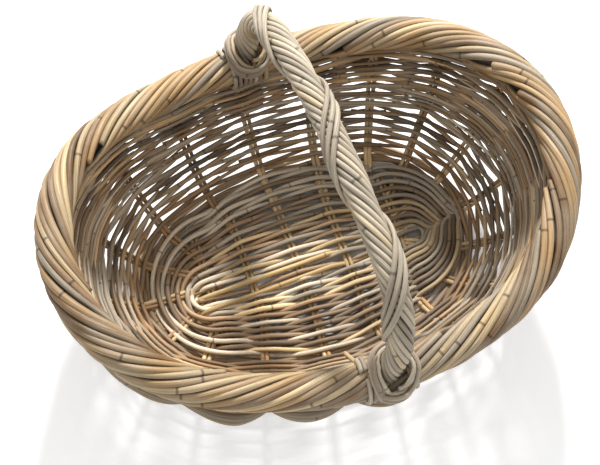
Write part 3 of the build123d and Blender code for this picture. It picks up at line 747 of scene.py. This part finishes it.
def armLine(share, side):
    # y of one arm of a base loop at each x of the base, the loop's middle line past its ends
    x, y, straight = baseLoop(share)
    middle = baseWeave["offCentre"] * (1 - share)
    chosen = (y - middle) * side > 0
    order = np.argsort(x[chosen])
    return np.interp(fillX, x[chosen][order], y[chosen][order], left=middle, right=middle)


def baseFillers():
    # canes halfway between two loops where these lie far enough apart, and a pair along the middle
    paths = []
    steps = baseFill["steps"]
    for side in (-1, 1):
        for loop in range(baseWeave["loops"] - 1):
            near, far = armLine(loopShare(loop), side), armLine(loopShare(loop + 1), side)
            roomy = fillX[np.abs(far - near) > baseFill["room"]]
            first = roomy.min() - rng.uniform(0, baseFill["overrun"])
            last = roomy.max() + rng.uniform(0, baseFill["overrun"])
            x = np.linspace(first, last, steps)
            y = np.interp(x, fillX, (near + far) / 2) + wavy(1, steps, 3, 0.0004)[0]
            path = wovenBase(x, y, np.interp(x, stickX, stickNumbers), plainSigns(np.array([1])))
            path[:, 2] -= baseFill["endTuck"] * tuckedEnds(steps, 8)
            paths.append(path)
        x = np.linspace(*baseFill["middleEnds"], steps)
        y = baseWeave["offCentre"] + side * baseFill["middleGap"] + wavy(1, steps, 3, 0.0005)[0]
        signs = plainSigns(np.array([side > 0]))
        paths.append(wovenBase(x, y, np.interp(x, stickX, stickNumbers), signs))
    return rounded(np.array(paths))


def leftRightTone(paths):
    # 1 in the middle, rising evenly to the left, falling to the right
    left = np.clip((0.03 - paths[..., 0]) / 0.15, 0, 1)
    right = np.clip((paths[..., 0] - 0.03) / 0.06, 0, 1)
    return 1 + baseWeave["leftLighter"] * left - baseWeave["rightDarker"] * right


paths = [baseLoops(), baseFillers()]
strands = [canes(lines, look, baseHues, 0.2, closed=look is baseWeave, grime=baseWeave["grime"],
                 tone=leftRightTone(lines)) for lines, look in zip(paths, (baseWeave, baseFill))]
piece = caneTubes("baseWeave", strands, baseCane)
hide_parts("base_weave")

crossSticks = {"radius": 0.0019, "gap": 0.0044, "height": 0.0085, "setback": 0.020}
crossHues = {"honey": ((0.74, 0.62, 0.44), 4), "pale": ((0.80, 0.70, 0.53), 3),
             "brown": ((0.58, 0.46, 0.32), 1)}
edgeX, edgeY = ovalAt(np.linspace(math.pi, 0, 361), -crossSticks["setback"])
halfReach = np.interp(stickX, edgeX, edgeY)
t = np.linspace(-1, 1, 24)
crossPaths = []
for x0, half in zip(stickX, halfReach):
    for side in (-1, 1):
        x = x0 + side * crossSticks["gap"] / 2 + 0 * t
        crossPaths.append(np.stack([x, half * t, crossSticks["height"] + 0 * t], axis=-1))
crossPaths = np.array(crossPaths)
crossRods = {"paths": crossPaths, "radius": crossSticks["radius"],
             "hues": pickHues(crossHues, len(crossPaths))}
piece = caneTubes("crossSticks", [crossRods], stickCane)
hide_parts("base_cross_sticks")

# three pairs along the base: y at the left and at the right; the golden pair lies on the weave at the left
longSticks = {"radius": 0.0024, "from": -0.150, "length": 0.296, "height": 0.0140, "drop": 0.0095,
              "sway": 0.0008, "golden": ((-0.0130, 0.0030), (-0.0265, -0.0105)),
              "hidden": ((0.026, 0.032), (0.031, 0.037), (-0.036, -0.030), (-0.041, -0.035))}
longHues = {"golden": ((0.84, 0.72, 0.50), (0.80, 0.67, 0.46)),
            "hidden": 2 * ((0.55, 0.45, 0.33), (0.50, 0.42, 0.31))}
t = np.linspace(0, 1, 60)
x = longSticks["from"] + longSticks["length"] * t
longPaths = []
for row, (startY, stopY) in enumerate(longSticks["golden"] + longSticks["hidden"]):
    drop = np.ones_like(x)
    if row < len(longSticks["golden"]):
        drop = np.clip(np.maximum((x - 0.020) / 0.02, (-0.108 - x) / 0.008), 0, 1)
    z = longSticks["height"] - drop * longSticks["drop"] + longSticks["sway"] * np.sin(9 * t + row)
    longPaths.append(np.stack([x, startY + (stopY - startY) * t, z], axis=-1))
longRods = {"paths": np.array(longPaths), "radius": longSticks["radius"],
            "hues": np.array(longHues["golden"] + longHues["hidden"])}
piece = caneTubes("longSticks", [longRods], stickCane)
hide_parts("base_long_sticks")

print("border")
# painted shade darkens each strand's sides where strands meet, and the core is painted the dark of the shade
# in the gaps between them
border = {"strands": 78, "pitch": 0.225, "centre": 0.0132, "tuck": 0.0090, "radius": 0.0032, "from": -150.0,
          "to": 215.0, "steps": 56, "grime": 0.85, "shownShare": 0.16, "shownFrom": 140, "shownTo": 172,
          "coreRadius": 0.0098, "corePaintedShade": (0.22, 0.17, 0.12)}
borderHues = {"honey": ((0.68, 0.55, 0.38), 6), "pale": ((0.76, 0.66, 0.50), 3),
              "grey": ((0.58, 0.52, 0.44), 4), "brown": ((0.50, 0.39, 0.27), 4)}


def lengthsAlong(line):
    # length from the line's start to each of its points, step added to step
    return np.concatenate([[0.0], np.cumsum(np.linalg.norm(np.diff(line, axis=0), axis=-1))])


ringAngle = np.linspace(-rightTurn, fullTurn - rightTurn, 4001)
ringX, ringY = ovalAt(ringAngle, rimOffset)
ringLine = np.stack([ringX, ringY, rimHeight(ringX)], axis=-1)
ringAlong = lengthsAlong(ringLine)
ringLength = ringAlong[-1]
print("border length", round(ringLength, 4))


def alongLine(along, lengths, line):
    # the line's value at this length along it, straight between its points
    return np.stack([np.interp(along, lengths, line[:, k]) for k in range(3)], axis=-1)


def borderFrame(along):
    # place, run, outward and upright of the border's middle line at this length along it
    wrapped = along % ringLength
    place = alongLine(wrapped, ringAlong, ringLine)
    slope = np.gradient(ringLine, axis=0)
    slope[0] = slope[-1] = ringLine[1] - ringLine[-2]
    run = unit(alongLine(wrapped, ringAlong, slope))
    upright = unit(np.array([0.0, 0.0, 1.0]) - run * run[..., 2:])
    return place, run, np.cross(run, upright), upright


def borderStrands():
    # a helix on the border: its turn grows with the length, and it sinks into the roll at both ends;
    # some canes end early, with the cut end showing on the inner face
    count, steps = border["strands"], border["steps"]
    t = np.linspace(0, 1, steps)
    jitter = rng.uniform(-0.2, 0.2, (count, 1))
    first = (np.arange(count)[:, None] + jitter) * ringLength / count
    shown = rng.random((count, 1)) < border["shownShare"]
    cutTurn = rng.uniform(border["shownFrom"], border["shownTo"], (count, 1))
    turnTo = np.where(shown, cutTurn, border["to"])
    degrees = border["from"] + (turnTo - border["from"]) * t
    along = first + border["pitch"] * (degrees - border["from"]) / 360
    sink = np.clip(1 - t * 7, 0, 1) ** 2 + np.where(shown, 0.0, np.clip((t - 0.86) * 7, 0, 1) ** 2)
    reach = border["centre"] - (border["centre"] - border["tuck"]) * sink + wavy(count, steps, 1.5, 0.0006)
    reach = reach + np.where(shown, 0.0008 * np.clip((t - 0.75) * 4, 0, 1), 0.0)
    turn = np.radians(degrees)
    place, run, outward, upright = borderFrame(along)
    radial = swung(turn, outward, upright)
    thick = border["radius"] * rng.uniform(0.88, 1.18, (count, 1)) * (1 + wavy(count, steps, 1.2, 0.06))
    return {"paths": place + reach[..., None] * radial, "hint": radial, "radius": thick,
            "hues": pickHues(borderHues, count), "grime": border["grime"]}


# a core inside the roll, in a dark colour that stands for the shade between the strands: painted shade
coreLine = borderFrame(np.linspace(0, ringLength, 180, endpoint=False))[0][None]
borderCore = {"paths": coreLine, "closed": True, "radius": border["coreRadius"],
              "hues": np.array([border["corePaintedShade"]])}
piece = caneTubes("borderRoll", [borderStrands(), borderCore], borderCane)
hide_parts("border_roll")

print("bow")
bow = {"rise": 0.129, "leg": 0.043, "shoulder": 0.076, "footX": 0.0115, "lean": math.radians(7.0)}
frontHalf = (ringAngle > 4.2) & (ringAngle < 5.2)
frontAlong = np.interp(bow["footX"], ringX[frontHalf], ringAlong[frontHalf])
backHalf = (ringAngle > 1.1) & (ringAngle < 2.1)
backAlong = np.interp(bow["footX"], -ringX[backHalf], ringAlong[backHalf])
frontFoot, backFoot = borderFrame(frontAlong)[0], borderFrame(backAlong)[0]
span = unit(frontFoot - backFoot)
halfSpan = np.linalg.norm(frontFoot - backFoot) / 2
bowMiddle = (frontFoot + backFoot) / 2
leaning = np.array([math.tan(bow["lean"]), 0.0, 1.0])
rise = unit(leaning - span * leaning.dot(span))
bowNormal = np.cross(span, rise)

# from the back foot: leg, shoulder arc, crown arc, shoulder arc, leg, each running smoothly into the next
shoulderX = halfSpan - bow["shoulder"]
crownRise = bow["rise"] - bow["leg"]
crownSquare = shoulderX ** 2 + crownRise ** 2 - bow["shoulder"] ** 2
crownRadius = crownSquare / (2 * (crownRise - bow["shoulder"]))
crownDrop = crownRadius - bow["rise"]
shoulderTurn = math.atan2(bow["leg"] + crownDrop, shoulderX)
legSteps = np.linspace(0, bow["leg"], 60)
backTurn = np.linspace(math.pi, math.pi - shoulderTurn, 160)[1:]
crownTurn = np.linspace(math.pi - shoulderTurn, shoulderTurn, 200)[1:]
frontTurn = np.linspace(shoulderTurn, 0, 160)[1:]


def arcPoints(x, y, radius, turn):
    # the arc's centre plus its radius along each angle
    return np.column_stack([x + radius * np.cos(turn), y + radius * np.sin(turn)])


backLeg = np.column_stack([np.full(60, -halfSpan), legSteps])
backArc = arcPoints(-shoulderX, bow["leg"], bow["shoulder"], backTurn)
crownArc = arcPoints(0.0, -crownDrop, crownRadius, crownTurn)
frontArc = arcPoints(shoulderX, bow["leg"], bow["shoulder"], frontTurn)
frontLeg = np.column_stack([np.full(59, halfSpan), legSteps[::-1][1:]])
bowFlat = np.concatenate([backLeg, backArc, crownArc, frontArc, frontLeg])
bowLine = bowMiddle + bowFlat[:, :1] * span + bowFlat[:, 1:] * rise
bowAlong = lengthsAlong(bowLine)
bowLength = bowAlong[-1]
bowSlope = np.gradient(bowLine, axis=0)
print("bow length", round(bowLength, 4))


def bowFrame(along):
    # place and upright of the bow at this length from its back foot; past the ends it goes straight on
    place = alongLine(along, bowAlong, bowLine)
    run = unit(alongLine(along, bowAlong, bowSlope))
    beyond = np.where(along < 0, along, np.where(along > bowLength, along - bowLength, 0.0))
    return place + run * beyond[..., None], np.cross(bowNormal, run)


def bowStrands(along, turn, reach):
    # a helix round the bow: turned from its upright towards its flat side
    place, upright = bowFrame(along)
    radial = swung(turn, upright, bowNormal)
    return place + reach[..., None] * radial, radial


# painted shade darkens each strand's sides where the strands meet
wrap = {"strands": 11, "pitch": 0.112, "centre": 0.0087, "radius": 0.0025, "shares": (0.9, 1.12),
        "steps": 280, "beyond": 0.006, "grime": 0.7}
bowHues = {"cream": ((0.81, 0.75, 0.65), 4), "ash": ((0.71, 0.66, 0.58), 4),
           "honey": ((0.73, 0.65, 0.52), 3), "grey": ((0.59, 0.54, 0.47), 3)}
count, steps = wrap["strands"], wrap["steps"]
along = np.linspace(-wrap["beyond"], bowLength + wrap["beyond"], steps)
along = np.broadcast_to(along, (count, steps))
turn = np.arange(count)[:, None] * fullTurn / count - fullTurn * along / wrap["pitch"]
turn = turn + wavy(count, steps, 4, 0.05)
reach = wrap["centre"] + wavy(count, steps, 5, 0.0004)
paths, radial = bowStrands(along, turn, reach)
piece = caneTubes("bowWrap", [canes(paths, wrap, bowHues, hint=radial, grime=wrap["grime"])], bowCane)
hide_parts("bow_wrap")

# a ribbon of canes wound the other way, which faces up at the crossing
counter = {"strands": 3, "pitch": 0.133, "crossing": 0.110, "facing": math.radians(20.0), "step": 0.0100,
           "centre": 0.0132, "radius": 0.00245, "shares": (0.92, 1.1), "flat": 0.85, "steps": 150,
           "inset": 0.046, "endTuck": 0.006}
count, steps = counter["strands"], counter["steps"]
along = np.linspace(counter["inset"], bowLength - counter["inset"], steps)
along = np.broadcast_to(along, (count, steps))
lag = (np.arange(count)[:, None] - 1) * counter["step"]
turn = counter["facing"] + fullTurn * (along - counter["crossing"] - lag) / counter["pitch"]
turn = turn + wavy(count, steps, 4, 0.05)
reach = counter["centre"] - counter["endTuck"] * tuckedEnds(steps, 8) + wavy(count, steps, 5, 0.0003)
paths, radial = bowStrands(along, turn, reach)
ribbon = canes(paths, counter, bowHues, hint=radial, flat=counter["flat"])
piece = caneTubes("bowCounterStrands", [ribbon], bowCane)
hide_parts("bow_counter_strands")

print("collars and lashings")
collar = {"radius": 0.0020, "pitch": 0.0040, "turns": 4, "start": 0.0195, "inner": 0.0138, "layer": 0.0040,
          "layers": 2, "layerTurn": 2.2, "steps": 150, "endTuck": 0.003, "sway": 0.0006, "dip": 0.0010}
slings = {"front": {"flare": 0.0080, "drop": 0.029, "rest": 0.0186},
          "back": {"flare": 0.0068, "drop": 0.008, "rest": 0.0232}}
collarHues = {"ash": ((0.74, 0.69, 0.61), 4), "tan": ((0.68, 0.59, 0.46), 2),
              "grey": ((0.60, 0.54, 0.47), 3)}


def collarTurns(foot, sling):
    # helices one over the other round the leg, their ends turned in; towards the front they swell by the
    # flare and sink by the drop, but no nearer to the border's middle than the rest
    t = np.linspace(0, 1, collar["steps"])
    paths = []
    for layer in range(collar["layers"]):
        turn = fullTurn * collar["turns"] * t + layer * collar["layerTurn"]
        hang = np.clip(np.cos(turn), 0, 1)
        reach = collar["inner"] + layer * collar["layer"] + sling["flare"] * hang
        reach = reach - collar["endTuck"] * tuckedEnds(collar["steps"], 8)
        reach = reach + collar["sway"] * np.sin(turn * 0.5 + layer)
        rest = np.sqrt(np.clip(sling["rest"] ** 2 - (reach * np.cos(turn)) ** 2, 0, None))
        lift = np.maximum(collar["start"] - sling["drop"] * hang ** 1.5, rest)
        lift = lift + collar["pitch"] * collar["turns"] * t + collar["dip"] * np.sin(turn + 1.0 + layer)
        paths.append(foot + reach[:, None] * swung(turn, span, bowNormal) + lift[:, None] * rise)
    return np.array(paths)


lashing = {"radius": 0.0022, "shares": (0.9, 1.1), "reach": 0.0182, "from": 100.0, "to": 440.0, "steps": 60,
           "slant": 0.004}
lashPlaces = {"front": np.array([-0.0200, -0.0152, 0.0152, 0.0200]), "back": 0.0052 * np.arange(-3, 4)}


def lashingLoops(offsets, footAlong):
    # open loops round the border beside or under the leg, down its inner face and up its outer one
    count, steps = len(offsets), lashing["steps"]
    t = np.linspace(0, 1, steps)
    turn = np.radians(lashing["from"] + (lashing["to"] - lashing["from"]) * t)[None]
    slant = lashing["slant"] * (t[None] - 0.5) + wavy(count, steps, 1, 0.0006)
    place, run, outward, upright = borderFrame(footAlong + offsets[:, None] + slant)
    radial = swung(turn, outward, upright)
    reach = lashing["reach"] + wavy(count, steps, 2, 0.0005)
    return place + reach[..., None] * radial, radial


# the cane end that sticks out over the border beside the front lashing
looseEnd = {"from": (-0.0030, -0.1640, 0.1385), "to": (-0.0135, -0.1310, 0.1190), "bend": 0.003,
            "radius": 0.0021, "hue": (0.80, 0.69, 0.50)}
t = np.linspace(0, 1, 12)[:, None]
looseLine = between(np.array(looseEnd["from"]), np.array(looseEnd["to"]), t)
looseLine[:, 2] += looseEnd["bend"] * np.sin(math.pi * t[:, 0])
looseCane = {"paths": looseLine[None], "radius": looseEnd["radius"], "hues": np.array([looseEnd["hue"]])}

for place, foot, footAlong in (("front", frontFoot, frontAlong), ("back", backFoot, backAlong)):
    paths = collarTurns(foot, slings[place])
    hues = pickHues(collarHues, len(paths))
    tone = 1 + wavy(len(paths), collar["steps"], 5, 0.2)
    collarCanes = {"paths": paths, "hint": rise, "radius": collar["radius"], "hues": hues, "tone": tone}
    piece = caneTubes("collar." + place, [collarCanes], bowCane)
    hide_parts("collar_" + place)
    paths, radial = lashingLoops(lashPlaces[place], footAlong)
    strands = [canes(paths, lashing, collarHues, hint=radial)]
    if place == "front":
        strands.append(looseCane)
    piece = caneTubes("lashing." + place, strands, borderCane)
    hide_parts("lashing_" + place)

print("core of the bow")
coreLook = {"scale": 180.0, "detail": 2.0, "dark": (0.36, 0.27, 0.18), "light": (0.58, 0.46, 0.32),
            "roughness": 0.6}


def coreFinish():
    # brown rod, its tone between dark and light by a fine cloudy pattern
    finish, tree = newFinish("coreRod")
    shader = tree.nodes["Principled BSDF"]
    place = tree.nodes.new("ShaderNodeTexCoord").outputs["Object"]
    noise = noiseNode(tree, coreLook["scale"], coreLook["detail"], place)
    shade = tree.nodes.new("ShaderNodeValToRGB")
    shade.color_ramp.elements[0].color = (*linearColour(coreLook["dark"]), 1)
    shade.color_ramp.elements[1].color = (*linearColour(coreLook["light"]), 1)
    tree.links.new(noise.outputs[0], shade.inputs[0])
    tree.links.new(shade.outputs[0], shader.inputs["Base Color"])
    shader.inputs["Roughness"].default_value = coreLook["roughness"]
    return finish


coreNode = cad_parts["bow_core"]
coreNode.data.materials.clear()
coreNode.data.materials.append(coreFinish())

print("floor, light and camera")
scene = bpy.context.scene
scene.view_settings.view_transform = "Standard"
studio = {"floorHalf": 6.0, "floorTone": 0.80, "floorGlow": 0.43, "paintedShadowRange": (0.8, 2.2),
          "ambient": 0.67, "keyPower": 90.0, "keySize": 0.32, "keyPlace": (0.60, 1.75, 1.75),
          "keyTarget": (0.0, 0.0, 0.08)}
view = {"place": (-0.17100529, -0.38717676, 1.09382237), "right": (0.94687, -0.32021, 0.03001),
        "up": (0.28522, 0.87918, 0.38169), "lens": 72.0, "sensor": 36.0}


def seenRays(tree):
    # 1 for what the eye sees straight, through glass or in a reflection, 0 for light that falls on things
    rays = tree.nodes.new("ShaderNodeLightPath")
    kinds = ("Camera", "Glossy", "Transmission")
    straight, glossy, through = [rays.outputs[f"Is {kind} Ray"] for kind in kinds]
    return mathsNode(tree, "MAXIMUM", straight, mathsNode(tree, "MAXIMUM", glossy, through))


def rangeNode(tree, value, source, target):
    # the value moved evenly from the source range to the target range
    node = tree.nodes.new("ShaderNodeMapRange")
    for socket, level in zip(node.inputs[1:5], (*source, *target)):
        socket.default_value = level
    tree.links.new(value, node.inputs[0])
    return node.outputs[0]


def floorFinish():
    # matt pale grey plus a glow for the eye alone, which fades out under the basket and leaves a painted
    # shadow there:
    # by the square of the distance over the base's half length and half width
    finish, tree = newFinish("paleFloor")
    tree.nodes.remove(tree.nodes["Principled BSDF"])
    matt = tree.nodes.new("ShaderNodeBsdfDiffuse")
    matt.inputs[0].default_value = (studio["floorTone"], studio["floorTone"], studio["floorTone"], 1)
    glow = tree.nodes.new("ShaderNodeEmission")
    place = tree.nodes.new("ShaderNodeTexCoord")
    split = tree.nodes.new("ShaderNodeSeparateXYZ")
    tree.links.new(place.outputs["Object"], split.inputs[0])
    halves = (halfLength, halfWidth)
    parts = [mathsNode(tree, "DIVIDE", split.outputs[k], halves[k]) for k in range(2)]
    squares = [mathsNode(tree, "POWER", part, 2.0) for part in parts]
    distance = mathsNode(tree, "ADD", *squares)
    # no glow near the base: a painted shadow under the basket
    glowOutsidePaintedShadow = rangeNode(tree, distance, studio["paintedShadowRange"], (0.0, studio["floorGlow"]))
    strength = mathsNode(tree, "MULTIPLY", seenRays(tree), glowOutsidePaintedShadow)
    tree.links.new(strength, glow.inputs["Strength"])
    both = tree.nodes.new("ShaderNodeAddShader")
    tree.links.new(matt.outputs[0], both.inputs[0])
    tree.links.new(glow.outputs[0], both.inputs[1])
    tree.links.new(both.outputs[0], tree.nodes["Material Output"].inputs["Surface"])
    return finish


half = studio["floorHalf"]
floorCorners = [(-half, -half, 0), (half, -half, 0), (half, half, 0), (-half, half, 0)]
floorMesh = bpy.data.meshes.new("floor")
floorMesh.from_pydata(floorCorners, [], [(0, 1, 2, 3)])
floorMesh.materials.append(floorFinish())
floor = addObject("floor", floorMesh)

# the world is white to the eye and gives off the ambient light
world = bpy.data.worlds.new("studio")
scene.world = world
world.use_nodes = True
worldTree = world.node_tree
backdrop = worldTree.nodes["Background"]
backdrop.inputs["Color"].default_value = (1, 1, 1, 1)
worldLevel = rangeNode(worldTree, seenRays(worldTree), (0.0, 1.0), (studio["ambient"], 1.0))
worldTree.links.new(worldLevel, backdrop.inputs["Strength"])


def placed(right, above, behind, place):
    # matrix with the three directions and the place as its columns
    return Matrix(np.column_stack([right, above, behind, place]).tolist() + [[0, 0, 0, 1]])


keyData = bpy.data.lights.new("key", "AREA")
keyData.energy = studio["keyPower"]
keyData.size = studio["keySize"]
key = addObject("key", keyData)
toLight = unit(np.array(studio["keyPlace"]) - np.array(studio["keyTarget"]))
acrossLight = unit(np.cross(np.array([0.0, 0.0, 1.0]), toLight))
key.matrix_world = placed(acrossLight, np.cross(toLight, acrossLight), toLight, studio["keyPlace"])

cameraData = bpy.data.cameras.new("camera")
cameraData.sensor_width = view["sensor"]
cameraData.lens = view["lens"]
camera = addObject("camera", cameraData)
right = unit(np.array(view["right"]))
behind = unit(np.cross(right, np.array(view["up"])))
camera.matrix_world = placed(right, np.cross(behind, right), behind, view["place"])
scene.camera = camera

bpy.context.view_layer.update()
